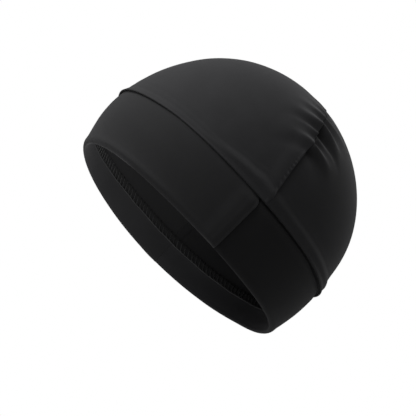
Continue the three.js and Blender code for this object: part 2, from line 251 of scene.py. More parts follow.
# How far in the band's top goes, just under the crown's edge, and its share a little lower
SHOULDER_TURN = 0.35
SHOULDER = [
    {"at": -100, "by": -0.2},
    {"at": -45, "by": -0.3},
    {"at": 0, "by": -1.0},
    {"at": 16, "by": -2.2},
    {"at": 45, "by": -2.6},
    {"at": 78, "by": -2.0},
    {"at": 100, "by": -0.7},
]
FOOT_DIP = -0.3
# The front band's top corners are rounded off by this much, going down to nothing at this height
CORNER_BACK = 2.2
CORNER_FOOT = 40.6
CORNER_FADE = 7.0

# Gathers on the two sides of the cross seam. at is the way along the seam from the middle to the crest,
# rise and fall are the widths of its upper and lower slopes, and for each millimetre from the seam a
# fold leans outwards by lean, and bends by bend times the distance.
FRONT_FOLDS = [
    {"at": 0, "height": 0.7, "rise": 3.0, "fall": 3.0, "reach": 20, "lean": 0, "bend": 0},
    {"at": 12, "height": 0.8, "rise": 3.4, "fall": 1.8, "reach": 17, "lean": 0.15, "bend": 0},
    {"at": 24, "height": 0.9, "rise": 3.4, "fall": 1.8, "reach": 21, "lean": 0.2, "bend": 0},
    {"at": 35, "height": 0.9, "rise": 3.4, "fall": 1.8, "reach": 20, "lean": 0.26, "bend": 0},
    {"at": 45.0, "height": 1.7, "rise": 2.6, "fall": 2.2, "reach": 32, "lean": 0.4, "bend": -0.006},
    {"at": 55.6, "height": 2.7, "rise": 3.4, "fall": 2.7, "reach": 36, "lean": 0.45, "bend": -0.009},
    {"at": 65.0, "height": 1.9, "rise": 1.6, "fall": 2.3, "reach": 31, "lean": 0.3, "bend": 0},
    {"at": 74.6, "height": 2.6, "rise": 3.6, "fall": 2.8, "reach": 30, "lean": 0.22, "bend": 0},
]
BACK_FOLDS = [
    {"at": 0, "height": 0.7, "rise": 3.0, "fall": 3.0, "reach": 22, "lean": 0, "bend": 0},
    {"at": 12, "height": 0.8, "rise": 2.6, "fall": 2.6, "reach": 24, "lean": -0.04, "bend": 0},
    {"at": 24, "height": 0.9, "rise": 2.4, "fall": 3.0, "reach": 26, "lean": -0.1, "bend": 0},
    {"at": 35, "height": 0.9, "rise": 2.4, "fall": 3.0, "reach": 26, "lean": -0.2, "bend": 0},
    {"at": 45.5, "height": 2.1, "rise": 2.0, "fall": 2.8, "reach": 34, "lean": -0.2, "bend": 0},
    {"at": 54.5, "height": 3.1, "rise": 1.8, "fall": 3.2, "reach": 31, "lean": 0.06, "bend": -0.004},
    {"at": 68.6, "height": 1.3, "rise": 1.6, "fall": 1.5, "reach": 30, "lean": -0.12, "bend": -0.006},
    {"at": 75.2, "height": 3.3, "rise": 2.2, "fall": 2.8, "reach": 32, "lean": -0.14, "bend": -0.006},
]
# Deep pockets beside the back panel's gathers, close to the seam. depth is how far the cloth goes down in
# the middle of one, and dark how much painted shade darkens its colour there.
BACK_POCKETS = [
    {"at": 61.0, "width": 2.9, "depth": 2.4, "dark": 0.6, "reach": 34, "lean": 0.0},
    {"at": 79.6, "width": 2.4, "depth": 1.2, "dark": 0.55, "reach": 27, "lean": -0.2},
]
FOLD_SPREAD = 0.03
FOLD_SHARPNESS = 1.7
# The hollow below a gather, and how many widths of its lower slope it is from the crest
FOLD_HOLLOW = 0.35
FOLD_HOLLOW_AT = 2.2
# The back panel's folds end this far from the seam where the front panel has no fold to take them up, and
# stand no more than this above the front's
FOLD_TUCK = 2.2
FOLD_OVER = 0.2
# The gathered cloth as a whole lies a little lower than the rest
FOLD_SINK = 0.9
SINK_REACH = 24.0
SINK_FROM = 70.0
SINK_TO = 84.0
FAR_SIDE_SCALE = 1.03
FAR_SIDE_SHIFT = 1.4

# Stitch puckers beside the seam's lower part, in a row a little off the seam. Their pitch drifts.
PUCKER_PITCH = 2.7
PUCKER_DRIFT = 1.3
PUCKER_DRIFT_LENGTH = 5
PUCKER_HEIGHT = 0.5
PUCKER_OFF = 1.2
PUCKER_REACH = 1.3
PUCKER_FROM = 86
PUCKER_FADE = 10

# Slow swells and slight ripples of all the cloth
SWELL_HEIGHT = 0.12
RIPPLE_HEIGHT = 0.05

# Painted shade on the cloth's inside, which lies in the cap's hollow: the crown's wrong side beside its own
# right side, and the band's wrong side and its hem's stitched edge beside plain jersey. The stitched edge
# is darkened further as the shade under its stitches, most on the front hem, which faces the light. The
# stitched edge starts just above the needle line, and the hem's own tone at the fold.
WRONG_SIDE_PAINTED_SHADE = 0.6
BAND_WRONG_SIDE_PAINTED_SHADE = 0.5
STITCHED_PAINTED_SHADE = {FRONT: 0.3, BACK: 0.48}
STITCHED_FROM = 0.2
FOLD_BLEND = 2

# Overlock stitch on the hem's edge: slanting strokes of a few threads each, which arch off the cloth and
# return under it, and a needle thread along their foot
STITCH_PITCH = 3.5
STITCH_FOOT = 0.7
STITCH_TOP = 6.5
STITCH_SLANT = -0.5
STITCH_RETURN = 0.2
STROKE_THREADS = 2
STROKE_THREAD_STEP = 0.5
STROKE_OFF = 0.25
STROKE_ARCH = 0.2
STROKE_UNDER = -0.5
STROKE_POINTS = 20
THREAD_RADIUS = 0.26
NEEDLE_OFF = 0.12
NEEDLE_ARCH = 0.1
NEEDLE_POINTS = 6
NEEDLE_RADIUS = 0.34
# Painted light: the looper threads are darkened against the needle thread, which keeps the lighter thread
# colour as a painted highlight on its line; darkest on the front hem, whose strokes face the light.
LOOPER_PAINTED_SHADE = {FRONT: 0.1, BACK: 0.38}
THREAD_SIDES = 5
# A way that no thread follows, to turn the threads' sections by
THREAD_ASIDE = np.array([0.13, 0.21, 0.97])
# Where up the band its girth is taken for the number of stitches, as a share of its height
HEM_RISE = 0.3

# The panels, by the node that each replaces. painted_shade is painted light and shade in its jersey's
# colour: lighter on the crown's front, which faces the light, and darker on the band's back, which lies
# in shade. gloss is how much its jersey shines, because each is cut along another way of the knit, and
# hem is how light its turned hem is, the back one lightened as painted light to even out its lower gloss.
# flat and area are what it is cut to before it is sewn and stretched on the head, in metres and square
# metres: a crown panel is a half round with its curved side gathered into the seam, a band panel a plain
# strip.
PANELS = {
    "crown_front": {"facing": FRONT, "painted_shade": 1.6, "gloss": 0.45, "flat": (0.245, 0.142), "area": 0.0275},
    "crown_back": {"facing": BACK, "painted_shade": 1.06, "gloss": 0.45, "flat": (0.235, 0.130), "area": 0.0243},
    "band_front": {"facing": FRONT, "painted_shade": 1.0, "gloss": 0.45, "flat": (0.268, 0.076), "area": 0.0203,
                   "hem": 1.0, "threads": "hem_thread_front"},
    "band_back": {"facing": BACK, "painted_shade": 0.5, "gloss": 0.33, "flat": (0.222, 0.080), "area": 0.0177,
                  "hem": 1.45, "threads": "hem_thread_back"},
}

# Fineness of the meshes. The crown's rows lie closer at its foot and at the seam.
SEAM_STEP = 0.85
CROWN_LINES = 118
LINE_CLOSING = 0.68
LINE_STEPS = 400
SPACING_STEPS = 4001
BAND_ROW_STEP = 0.95
ALLOWANCE_COLUMNS = 13
ALLOWANCE_ROWS = 40
CROWN_COLUMN_STEPS = [
    {"at": 0, "by": 0.45},
    {"at": 5, "by": 0.8},
    {"at": 16, "by": 1.2},
    {"at": 40, "by": 2.6},
]
BAND_COLUMN_STEPS = [
    {"at": 0, "by": 0.35},
    {"at": 3, "by": 0.6},
    {"at": 16, "by": 1.1},
    {"at": 40, "by": 1.5},
]


def smooth(t):
    k = np.clip(t, 0.0, 1.0)
    return k * k * (3 - 2 * k)


def look_up(rows, at):
    """The value of a table of at and by rows, eased from row to row."""
    places = np.array([row["at"] for row in rows], float)
    values = np.array([row["by"] for row in rows], float)
    at = np.clip(at, places[0], places[-1])
    low = np.clip(np.searchsorted(places, at, side="right") - 1, 0, len(rows) - 2)
    share = smooth((at - places[low]) / (places[low + 1] - places[low]))
    return values[low] + (values[low + 1] - values[low]) * share


def unit(v):
    return v / np.linalg.norm(v, axis=-1, keepdims=True)


def edge_round(distance, radius=EDGE_ROUND):
    """How much a cloth's outer side falls towards a free edge."""
    inside = np.clip(radius - distance, 0.0, radius)
    return radius - np.sqrt(radius**2 - inside**2)


def spline_weights(knots, at):
    """Weights that carry values at the knots to a smooth curve through them, a row for each place."""
    count = len(knots)
    step = np.diff(knots)
    slope = np.zeros((count, count))
    slope[0, :2] = [-1 / step[0], 1 / step[0]]
    slope[-1, -2:] = [-1 / step[-1], 1 / step[-1]]
    for k in range(1, count - 1):
        before, after = step[k - 1], step[k]
        slope[k, k - 1] = -after / (before * (before + after))
        slope[k, k] = (after - before) / (before * after)
        slope[k, k + 1] = before / (after * (before + after))
    low = np.clip(np.searchsorted(knots, at, side="right") - 1, 0, count - 2)
    t = ((at - knots[low]) / step[low])[:, None]
    reach = step[low][:, None]
    value = np.eye(count)
    by_value = (1 + 2 * t) * (1 - t) ** 2 * value[low] + t**2 * (3 - 2 * t) * value[low + 1]
    by_slope = t * (1 - t) ** 2 * slope[low] + t**2 * (t - 1) * slope[low + 1]
    return by_value + reach * by_slope


def places_between(knots, step):
    """Places along the knots, with the knots among them, no more than a step apart."""
    places = [knots[0]]
    for low, high in zip(knots, knots[1:]):
        count = max(2, math.ceil((high - low) / step))
        places.extend(np.linspace(low, high, count + 1)[1:])
    return np.array(places)


class Cloth:
    """A cloth piece while it is made: matching points of its two sides, and the faces of its outer side."""

    def __init__(self, wrong_side_painted_shade=WRONG_SIDE_PAINTED_SHADE):
        self.wrong_side_painted_shade = wrong_side_painted_shade
        self.outer = []
        self.inner = []
        self.weave = []
        self.tone = []
        self.quads = []
        self.count = 0

    def add(self, outer, inner, weave, tone=1.0):
        ids = np.arange(self.count, self.count + outer[..., 0].size).reshape(outer.shape[:-1])
        self.tone.append(np.broadcast_to(tone, ids.shape).ravel())
        self.outer.append(outer.reshape(-1, 3))
        self.inner.append(inner.reshape(-1, 3))
        self.weave.append(weave.reshape(-1, 2))
        self.count += ids.size
        return ids

    def join(self, ids, flip):
        corners = [ids[:-1, :-1], ids[1:, :-1], ids[1:, 1:], ids[:-1, 1:]]
        quads = np.stack(corners, axis=-1).reshape(-1, 4)
        self.quads.append(quads[:, ::-1] if flip else quads)

    def build(self, name, node, material):
        """One closed mesh: the two sides of the cloth, and a wall that joins them at each free edge."""
        quads = np.concatenate(self.quads)
        starts = quads.reshape(-1)
        ends = np.roll(quads, -1, axis=1).reshape(-1)
        free = ~np.isin(starts * self.count + ends, ends * self.count + starts)
        first, last = starts[free], ends[free]
        walls = np.stack([last, first, first + self.count, last + self.count], axis=-1)
        faces = np.concatenate([quads, quads[:, ::-1] + self.count, walls])
        # The inner side takes the wrong side's painted shade.
        tones = np.concatenate(self.tone + [np.full(self.count, self.wrong_side_painted_shade)])
        mesh = new_mesh(name, np.concatenate(self.outer + self.inner), faces, tones)
        weave = np.concatenate(self.weave + self.weave)
        place = mesh.attributes.new("weave", "FLOAT_VECTOR", "POINT")
        place.data.foreach_set("vector", np.pad(weave, ((0, 0), (0, 1))).ravel())
        return new_piece(name, mesh, material, [node])


def new_mesh(name, points, faces, tones):
    """A smooth mesh from points in millimetres, with a tone of painted shade for each of them."""
    mesh = bpy.data.meshes.new(name)
    mesh.from_pydata((points * MM).tolist(), [], faces.tolist())
    mesh.shade_smooth()
    tone = mesh.attributes.new("tone", "FLOAT", "POINT")
    tone.data.foreach_set("value", tones)
    return mesh


def new_piece(name, mesh, material, nodes=()):
    """A piece with the given material, put in place of the nodes, which it hides, and hung on the root
    body.
    """
    obj = bpy.data.objects.new(name, mesh)
    bpy.context.scene.collection.objects.link(obj)
    mesh.materials.append(material)
    if nodes:
        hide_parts(*nodes)
    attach(obj, "root")
    return obj


# Crown


def dome_height(x, y):
    inside = 1 - (x / CROWN["half_breadth"]) ** 2 - (y / CROWN["half_length"]) ** 2
    return CROWN["rise"] * np.sqrt(np.maximum(0, inside))


def on_dome(p):
    return p / np.linalg.norm(p / RADII, axis=-1, keepdims=True)


def end_share(share, brow, neck):
    """A value that comes in at the brow and another at the neck, by the share of the half length."""
    at_brow = brow * smooth((-share - END_FROM) / END_OVER)
    return at_brow + neck * smooth((share - END_FROM) / END_OVER)


def raised(p, lift):
    """A place of the dome, lifted off it and put where it is on the cap."""
    q = p + unit(p / RADII**2) * lift[..., None]
    x = q[..., 0] * (1 + CROWN_WIDENING * smooth(p[..., 2] / CROWN["rise"]))
    y = q[..., 1] + look_up(CROWN_LEAN, p[..., 2] / CROWN["rise"])
    at_end = end_share(p[..., 1] / CROWN["half_length"], BROW_DIP, NECK_DIP)
    dip = at_end * (1 - smooth(p[..., 2] / DIP_REACH))
    z = q[..., 2] + BAND_HEIGHT - TOP_DROP * (p[..., 0] / CROWN["half_breadth"]) ** 2 - dip
    return np.stack([x, y, z], axis=-1)


SEAM_FOOT_X = CROWN["half_breadth"] * math.sqrt(1 - (SEAM_FOOT_Y / CROWN["half_length"]) ** 2)


def along_seam(x):
    share = np.clip(x / CROWN["half_breadth"], -1, 1)
    return CROWN["half_breadth"] * np.arcsin(share)


def seam_y(x):
    along = np.abs(along_seam(x))
    lean = SEAM_LEAN * smooth((along - SEAM_LEAN_FROM) / (SEAM_LEAN_TO - SEAM_LEAN_FROM))
    foot = along_seam(SEAM_FOOT_X)
    low = np.clip((along - SEAM_SWING_FROM) / (foot - SEAM_SWING_FROM), 0, SEAM_PAST_FOOT)
    swing = (SEAM_FOOT_Y - SEAM_TOP_Y - SEAM_LEAN) * low**SEAM_SWING_POWER
    first, last = SEAM_SWAY_END
    sway = np.sin(2 * np.pi * along / SEAM_SWAY_PITCH) * (1 - smooth((along - first) / (last - first)))
    return SEAM_TOP_Y + lean + swing + SEAM_SWAY * sway


def fold_shape(off, rise, fall):
    """Section of one gather: its two slopes, with a hollow at the foot of the lower one."""
    width = np.where(off > 0, fall, rise)
    hollow = np.exp(-(((off - FOLD_HOLLOW_AT * fall) / fall) ** 2))
    return np.exp(-np.abs(off / width) ** FOLD_SHARPNESS) - FOLD_HOLLOW * hollow


def folds_of(folds, along, from_seam):
    lift = np.zeros_like(along)
    spread = 1 + FOLD_SPREAD * from_seam
    for fold in folds:
        off = along - fold["at"] - (fold["lean"] + fold["bend"] * from_seam) * from_seam
        shape = fold_shape(off, fold["rise"] * spread, fold["fall"] * spread)
        lift += fold["height"] * shape * (1 - smooth(from_seam / fold["reach"]))
    return lift


def pocket_shares(along, from_seam):
    """How deep a place lies in each of the back panel's pockets, from nothing to one."""
    for pocket in BACK_POCKETS:
        off = (along - pocket["at"] - pocket["lean"] * from_seam) / pocket["width"]
        yield pocket, np.exp(-off**2) * (1 - smooth(from_seam / pocket["reach"]))


def along_folds(p):
    """The way along the seam, from the middle to either side. The far side's gathers lie a little off."""
    along = along_seam(p[..., 0])
    return np.where(along < 0, -along * FAR_SIDE_SCALE - FAR_SIDE_SHIFT, along)


# Painted shade: the back panel's colour darkened deep in its pockets.
def pocket_painted_shade(p, from_seam):
    tone = np.ones_like(from_seam)
    for pocket, share in pocket_shares(along_folds(p), from_seam):
        tone *= 1 - pocket["dark"] * share
    return tone


def fold_lift(p, facing, from_seam):
    along = along_folds(p)
    sink = (1 - smooth((along - SINK_FROM) / (SINK_TO - SINK_FROM))) * (1 - smooth(from_seam / SINK_REACH))
    front = folds_of(FRONT_FOLDS, along, from_seam)
    if facing == FRONT:
        return front - FOLD_SINK * sink
    back = folds_of(BACK_FOLDS, along, from_seam)
    for pocket, share in pocket_shares(along, from_seam):
        back -= pocket["depth"] * share
    near = 1 - smooth(from_seam / FOLD_TUCK)
    return back + (np.minimum(back, front + FOLD_OVER) - back) * near - FOLD_SINK * sink


def pucker_lift(p, from_seam):
    """Small puckers that the stitches draw beside the seam's lower part."""
    along = np.abs(along_seam(p[..., 0]))
    drift = PUCKER_DRIFT * np.sin(along / PUCKER_DRIFT_LENGTH)
    wave = np.cos(2 * np.pi * along / PUCKER_PITCH + drift)
    low = smooth((along - PUCKER_FROM) / PUCKER_FADE)
    return PUCKER_HEIGHT * wave * low * np.exp(-((from_seam - PUCKER_OFF) / PUCKER_REACH) ** 2)


def unevenness(p):
    """Slight swells of the cloth. The lengths of their waves are uneven, so that no pattern shows."""
    x, y, z = p[..., 0], p[..., 1], p[..., 2]
    swell = np.sin(x / 17 + 0.6 * np.sin(y / 23)) * np.sin(y / 19 + 1.2) * np.cos(z / 21)
    ripple = np.sin(x / 7.1 + y / 11 + 1.0) * np.sin(z / 8.3 + y / 13)
    return SWELL_HEIGHT * swell + RIPPLE_HEIGHT * ripple


def foot_lift(y, above):
    """How proud the crown stands near its foot, by the place from brow to neck and the height above it."""
    full = look_up(FOOT_FULLNESS, y) * (1 - smooth(above / FULLNESS_REACH))
    share = look_up(RIDGE_SHARE, y)
    plain = look_up(CROWN_FOOT_PLAIN, above)
    ridge = look_up(CROWN_FOOT_RIDGE, above / look_up(FOOT_SPREAD, y))
    return full + plain + (ridge - plain) * share


def step_share(p):
    """How much of the cross seam's step shows: less at its feet and across the gathers."""
    low, high = STEP_FADE
    first, last = GATHER_END
    past_gathers = smooth((np.abs(along_seam(p[..., 0])) - first) / (last - first))
    return smooth((p[..., 2] - low) / (high - low)) * (GATHER_STEP + (1 - GATHER_STEP) * past_gathers)


def crown_lift(p, facing):
    """How far the crown's cloth stands off the dome at places of it."""
    from_seam = np.abs(p[..., 1] - seam_y(p[..., 0]))
    foot = foot_lift(p[..., 1], p[..., 2])
    edge = look_up(CROWN_OVER_EDGE if facing == FRONT else UNDER_EDGE, from_seam) * step_share(p)
    ridge = np.cbrt(np.maximum(0, foot) ** 3 + np.maximum(0, edge) ** 3)
    hollow = np.minimum(0, foot) + np.minimum(0, edge)
    detail = fold_lift(p, facing, from_seam) + unevenness(p)
    if facing == FRONT:
        detail = detail + pucker_lift(p, from_seam)
    return ridge + hollow + detail


def crown_sides(p, lift, fall):
    """The two sides of the cloth at places of the dome. Its outer side falls towards a free edge."""
    return raised(p, lift - fall), raised(p, lift - CLOTH)


def crown_weave(p):
    """Places in the panel's flat cloth, in millimetres."""
    down = np.arctan2(p[..., 2] * CROWN["half_length"] / CROWN["rise"], p[..., 1])
    return np.stack([along_seam(p[..., 0]), CROWN["half_length"] * down], axis=-1)


def crown_places(facing, shares):
    """Places on the panel: a line for each share, from the crown's foot up to the seam."""
    clear = BUTT if facing == BACK else 0
    half_breadth, half_length = CROWN["half_breadth"], CROWN["half_length"]
    start = math.asin((SEAM_FOOT_Y + clear) / half_length)
    angle = start + facing * shares * (math.pi - facing * 2 * start)
    foot_x, foot_y = half_breadth * np.cos(angle), half_length * np.sin(angle)
    footward = foot_y - seam_y(foot_x) - clear
    top_x = SEAM_TOP_REACH * np.cos(math.pi * shares)
    near = np.cos(math.pi / 2 * np.linspace(0, 1, LINE_STEPS))[None, :]
    x = top_x[:, None] * (1 - near) + foot_x[:, None] * near
    y = seam_y(x) + clear + footward[:, None] * near
    z = dome_height(x, y)
    z[:, 0] = 0
    lines = np.stack([x, y, z], axis=-1)
    lengths = np.linalg.norm(np.diff(lines, axis=1), axis=-1).cumsum(axis=1)
    lengths = np.pad(lengths, ((0, 0), (1, 0)))
    even = np.linspace(0, 1, CROWN_LINES + 1)
    wanted = even - LINE_CLOSING * np.sin(2 * math.pi * even) / (2 * math.pi)
    places = np.empty((len(shares), len(even), 3))
    for line, length, place in zip(lines, lengths, places):
        for axis in range(3):
            place[:, axis] = np.interp(wanted * length[-1], length, line[:, axis])
    places[:, 1:-1] = on_dome(places[:, 1:-1])
    return places


def stepped(at, density):
    """Places spaced by the density over at, the two ends included."""
    count = np.concatenate([[0], np.cumsum((density[1:] + density[:-1]) / 2 * np.diff(at))])
    steps = round(count[-1])
    return np.interp(np.linspace(0, count[-1], steps + 1), count, at)


def column_shares(facing):
    """Shares of the panel's lines: close at its two side edges and even along the seam's top."""
    half_foot = math.pi / 4 * (CROWN["half_length"] + CROWN["half_breadth"]) - facing * SEAM_FOOT_Y
    at = np.linspace(0, 0.5, SPACING_STEPS)
    across = np.abs(np.gradient(along_seam(SEAM_TOP_REACH * np.cos(math.pi * at)), at)) / SEAM_STEP
    foot = 2 * half_foot / look_up(CROWN_COLUMN_STEPS, 2 * half_foot * at)
    half = stepped(at, np.hypot(across, foot))
    return np.concatenate([half, 1 - half[-2::-1]])


def crown_panel(node):
    panel = PANELS[node]
    facing = panel["facing"]
    cloth = Cloth()
    places = crown_places(facing, column_shares(facing))
    from_foot = places[..., 2]
    fall = edge_round(from_foot, look_up(FOOT_EDGE_ROUND, places[..., 1]))
    from_seam = np.abs(places[..., 1] - seam_y(places[..., 0]))
    if facing == FRONT:
        fall = np.maximum(fall, edge_round(from_seam) * step_share(places))
    # Painted shade in the back panel's pockets.
    tone = pocket_painted_shade(places, from_seam) if facing == BACK else 1.0
    outer, inner = crown_sides(places, crown_lift(places, facing), fall)
    ids = cloth.add(outer, inner, crown_weave(places), tone)
    cloth.join(ids, facing == FRONT)
    if facing == BACK:
        add_crown_lap(cloth, places, ids)
    return cloth.build(f"{node}_cloth", node, jersey(f"{node}_jersey", panel["painted_shade"], panel["gloss"]))


def add_crown_lap(cloth, places, ids):
    """The back panel's edge, run on under the front panel from above one foot of the seam to the other."""
    first = int(np.argmax(places[0, :, 2] > LAP_FOOT))
    up = [(0, k) for k in range(first, places.shape[1])]
    over = [(i, places.shape[1] - 1) for i in range(1, places.shape[0] - 1)]
    down = [(places.shape[0] - 1, k) for k in reversed(range(first, places.shape[1]))]
    path = np.array(up + over + down)
    edge = places[path[:, 0], path[:, 1]]
    layers = [ids[path[:, 0], path[:, 1]]]
    for share in LAP_SHARES:
        q = on_dome(edge + np.array([0, -LAP * share, 0]))
        droop = LAP_DROOP * share**LAP_DROOP_POWER
        lift = crown_lift(q, FRONT) - CLOTH - GAP - droop
        outer, inner = crown_sides(q, lift, 0)
        layers.append(cloth.add(outer, inner, crown_weave(q)))
    cloth.join(np.stack(layers, axis=1), False)


# Band


def band_size(column, rise):
    """A column of BAND_ROWS at a rise, on the parabola through its three rows."""
    foot, middle, top = [row[column] for row in BAND_ROWS]
    return foot + (top - foot) * rise + (middle - (foot + top) / 2) * 4 * rise * (1 - rise)


def band_place(angle, height, proud):
    """A place on the band's wall, or proud of it, by the angle round the head and the height."""
    rise = height / BAND_HEIGHT
    a, b = band_size("half_breadth", rise), band_size("half_length", rise)
    drop = (RIM_DROP + (TOP_DROP - RIM_DROP) * rise) * np.cos(angle) ** 2
    top_share = smooth((height - BAND_DIP_FROM) / (BAND_HEIGHT - BAND_DIP_FROM))
    drop = drop + end_share(np.sin(angle), BROW_DIP, NECK_DIP) * top_share
    nape = smooth((np.sin(angle) - NAPE_FROM) / (1 - NAPE_FROM)) * np.clip(1 - rise, 0, 1)
    drop = drop + NAPE_LOW * nape * (1 - rise)
    proud = proud - end_share(np.sin(angle), BROW_TUCK, NECK_TUCK) + NAPE_OUT * nape
    wall = [a * np.cos(angle), b * np.sin(angle) + band_size("shift", rise), height - drop]
    out = [np.cos(angle) / a, np.sin(angle) / b, np.zeros_like(angle * height)]
    wall, out = (np.stack(np.broadcast_arrays(*v), axis=-1) for v in (wall, out))
    return wall + unit(out) * np.asarray(proud)[..., None]


def band_lift(facing, from_seam, height):
    """How proud the band's wall is near its two side seams, where the front band lies over the back one."""
    edge = look_up(BAND_OVER_EDGE if facing == FRONT else UNDER_EDGE, from_seam)
    return edge * smooth((WALL_ROWS[0]["height"] - height) / BAND_EDGE_FADE)


def hem_top(angle):
    """The needle line's height: lower at the brow, and slightly uneven."""
    brow = np.maximum(0, -np.sin(angle)) ** HEM_NARROWING
    wave = HEM_WAVE * (np.sin(angle * 23) + 0.6 * np.sin(angle * 41 + 1))
    return HEM_SIDE + (HEM_BROW - HEM_SIDE) * brow + wave


def foot_dip(angle):
    """The band's top edge dips a little where the cross seam comes down."""
    from_seam = np.abs(CROWN["half_length"] * np.sin(angle) - SEAM_FOOT_Y)
    return FOOT_DIP * (1 - smooth(from_seam / (2 * LAP)))


def corner_angle(facing, angle, from_seam, height):
    """The columns' angles at a height: the front band's side edges go back towards its top corners."""
    if facing == BACK:
        return angle
    share = np.clip((height - CORNER_FOOT) / (BAND_HEIGHT - CORNER_FOOT), 0, 1) ** 2
    fade = 1 - smooth(from_seam / CORNER_FADE)
    way = np.where(np.cos(angle) > 0, -1, 1)
    return angle + way * CORNER_BACK * share * fade / band_size("half_length", 1.0)


def under_crown(angle, above):
    """Places of the band's two sides on its top edge, inside the crown."""
    flat = [RADII[0] * np.cos(angle), RADII[1] * np.sin(angle), np.full_like(angle, above)]
    p = on_dome(np.stack(flat, axis=-1))
    lift = foot_lift(p[..., 1], above) + foot_dip(angle) - CLOTH - UNDER_CROWN_GAP
    return raised(p, lift), raised(p, lift - CLOTH)


def band_columns(facing):
    """Angles of the band's columns with their distances from the nearer side seam."""
    a, b = band_size("half_breadth", 0.5), band_size("half_length", 0.5)
    edge = BUTT if facing == BACK else 0
    start = math.asin(BAND_SEAM_Y / b) + facing * edge / b
    span = math.pi - facing * 2 * start
    half = span * (a + b) / 4
    at = np.linspace(0, half, SPACING_STEPS)
    half_way = stepped(at, 1 / look_up(BAND_COLUMN_STEPS, at))
    whole = np.concatenate([half_way, 2 * half - half_way[-2::-1]])
    angle = start + facing * span * whole / (2 * half)
    return angle, np.minimum(whole, 2 * half - whole) + edge


def band_controls(facing, angle, from_seam):
    """Control places of the two sides, a row for each section row and a column for each angle."""
    corner = corner_angle(facing, angle, from_seam, BAND_HEIGHT)
    lapped = [under_crown(corner, above) for above in UNDER_CROWN]
    outer, inner = [side[0] for side in lapped], [side[1] for side in lapped]
    on_wall = True
    for row in WALL_ROWS:
        on_wall = on_wall and row["height"] != 0
        lift = band_lift(facing, from_seam, row["height"]) if on_wall else np.zeros_like(angle)
        if row in SHOULDER_ROWS:
            share = 1.0 if row is WALL_ROWS[0] else SHOULDER_TURN
            lift = lift + share * (foot_dip(angle) + look_up(SHOULDER, RADII[1] * np.sin(angle)))
        if row is WALL_ROWS[FLARE_ROW]:
            lift = lift + look_up(HEM_FLARE, RADII[1] * np.sin(angle))
        extra = hem_top(angle) if row["hem"] else 0
        turned = corner_angle(facing, angle, from_seam, row["height"])
        inner_lift = lift if row in SHOULDER_ROWS else lift * INNER_SHARE[facing]
        outer.append(band_place(turned, row["height"] + extra, row["proud"] + lift))
        inner.append(band_place(turned, row["inner_height"] + extra, row["inner_proud"] + inner_lift))
    return np.stack(outer), np.stack(inner)


def band_panel(node):
    panel = PANELS[node]
    facing, painted_shade = panel["facing"], panel["painted_shade"]
    cloth = Cloth(BAND_WRONG_SIDE_PAINTED_SHADE / painted_shade)
    angle, from_seam = band_columns(facing)
    outer, inner = band_controls(facing, angle, from_seam)
    middle = outer[:, len(angle) // 2]
    lengths = np.linalg.norm(np.diff(middle, axis=0), axis=-1)
    knots = np.concatenate([[0], np.cumsum(lengths)])
    places = places_between(knots, BAND_ROW_STEP)
    weights = spline_weights(knots, places)
    outer = np.einsum("pk,kca->cpa", weights, outer)
    inner = np.einsum("pk,kca->cpa", weights, inner)
    outer = outer + band_detail(facing, outer, inner, from_seam, knots, places)
    weave = np.stack(np.meshgrid(angle * RADII[1], places, indexing="ij"), axis=-1)
    # The turned hem's tone, the back one lightened as painted light, and painted shade on its stitched
    # edge, both against the panel's own painted shade.
    past_fold = smooth((places - knots[FOLD_ROW] + FOLD_BLEND / 2) / FOLD_BLEND)
    tone = 1 + (panel["hem"] / painted_shade - 1) * past_fold
    stitched = places > knots[NEEDLE_ROW] + STITCHED_FROM
    tone = np.where(stitched, STITCHED_PAINTED_SHADE[facing] / painted_shade, tone)
    ids = cloth.add(outer, inner, weave, tone[None, :])
    cloth.join(ids, facing == BACK)
    if facing == BACK:
        add_allowance(cloth, angle[0])
        add_allowance(cloth, angle[-1])
    return cloth.build(f"{node}_cloth", node, jersey(f"{node}_jersey", painted_shade, panel["gloss"]))


def band_detail(facing, outer, inner, from_seam, knots, places):
    """Slight swells, and the outer side's fall towards the front band's side edges."""
    out = unit(outer - inner)
    swell = unevenness(outer)
    fall = edge_round(from_seam) if facing == FRONT else np.zeros_like(from_seam)
    on_wall = smooth((knots[FOLD_ROW] - places) / FOLD_BLEND)
    return out * (swell - fall[:, None] * on_wall)[..., None]


def add_allowance(cloth, seam_angle):
    """The side seam's allowance: a strip behind the two edges, from inside the fold up to the crown."""
    around = np.linspace(-ALLOWANCE, ALLOWANCE, ALLOWANCE_COLUMNS)
    heights = np.linspace(ALLOWANCE_FOOT, ALLOWANCE_TOP, ALLOWANCE_ROWS)
    off, height = np.meshgrid(around, heights, indexing="ij")
    angle = seam_angle + off / band_size("half_length", 0.5)
    thin = ALLOWANCE_THICK * (1 - ALLOWANCE_THINNING * (np.abs(off) / ALLOWANCE) ** 4)
    over_front = smooth((BAND_SEAM_Y - band_size("half_length", 0.5) * np.sin(angle)) / ALLOWANCE_TURN)
    back = look_up(ALLOWANCE_OVER_BACK, height)
    back = back + (look_up(ALLOWANCE_OVER_FRONT, height) - back) * over_front
    outer = band_place(angle, height, back)
    inner = band_place(angle, height, back - thin)
    ids = cloth.add(outer, inner, np.stack([angle * RADII[1], height], axis=-1))
    cloth.join(ids, False)


# Overlock stitch


def tube(path, radius):
    """Points and faces of a round thread along a path, open at its two ends."""
    forward = unit(np.gradient(path, axis=0))
    across = unit(np.cross(forward, THREAD_ASIDE))
    up = np.cross(across, forward)
    turn = np.arange(THREAD_SIDES) * 2 * math.pi / THREAD_SIDES
    ring = across[:, None] * np.cos(turn)[None, :, None] + up[:, None] * np.sin(turn)[None, :, None]
    points = path[:, None] + radius * ring
    ids = np.arange(points.shape[0] * THREAD_SIDES).reshape(-1, THREAD_SIDES)
    after = np.roll(ids, -1, axis=1)
    faces = np.stack([ids[:-1], ids[1:], after[1:], after[:-1]], axis=-1).reshape(-1, 4)
    return points.reshape(-1, 3), faces


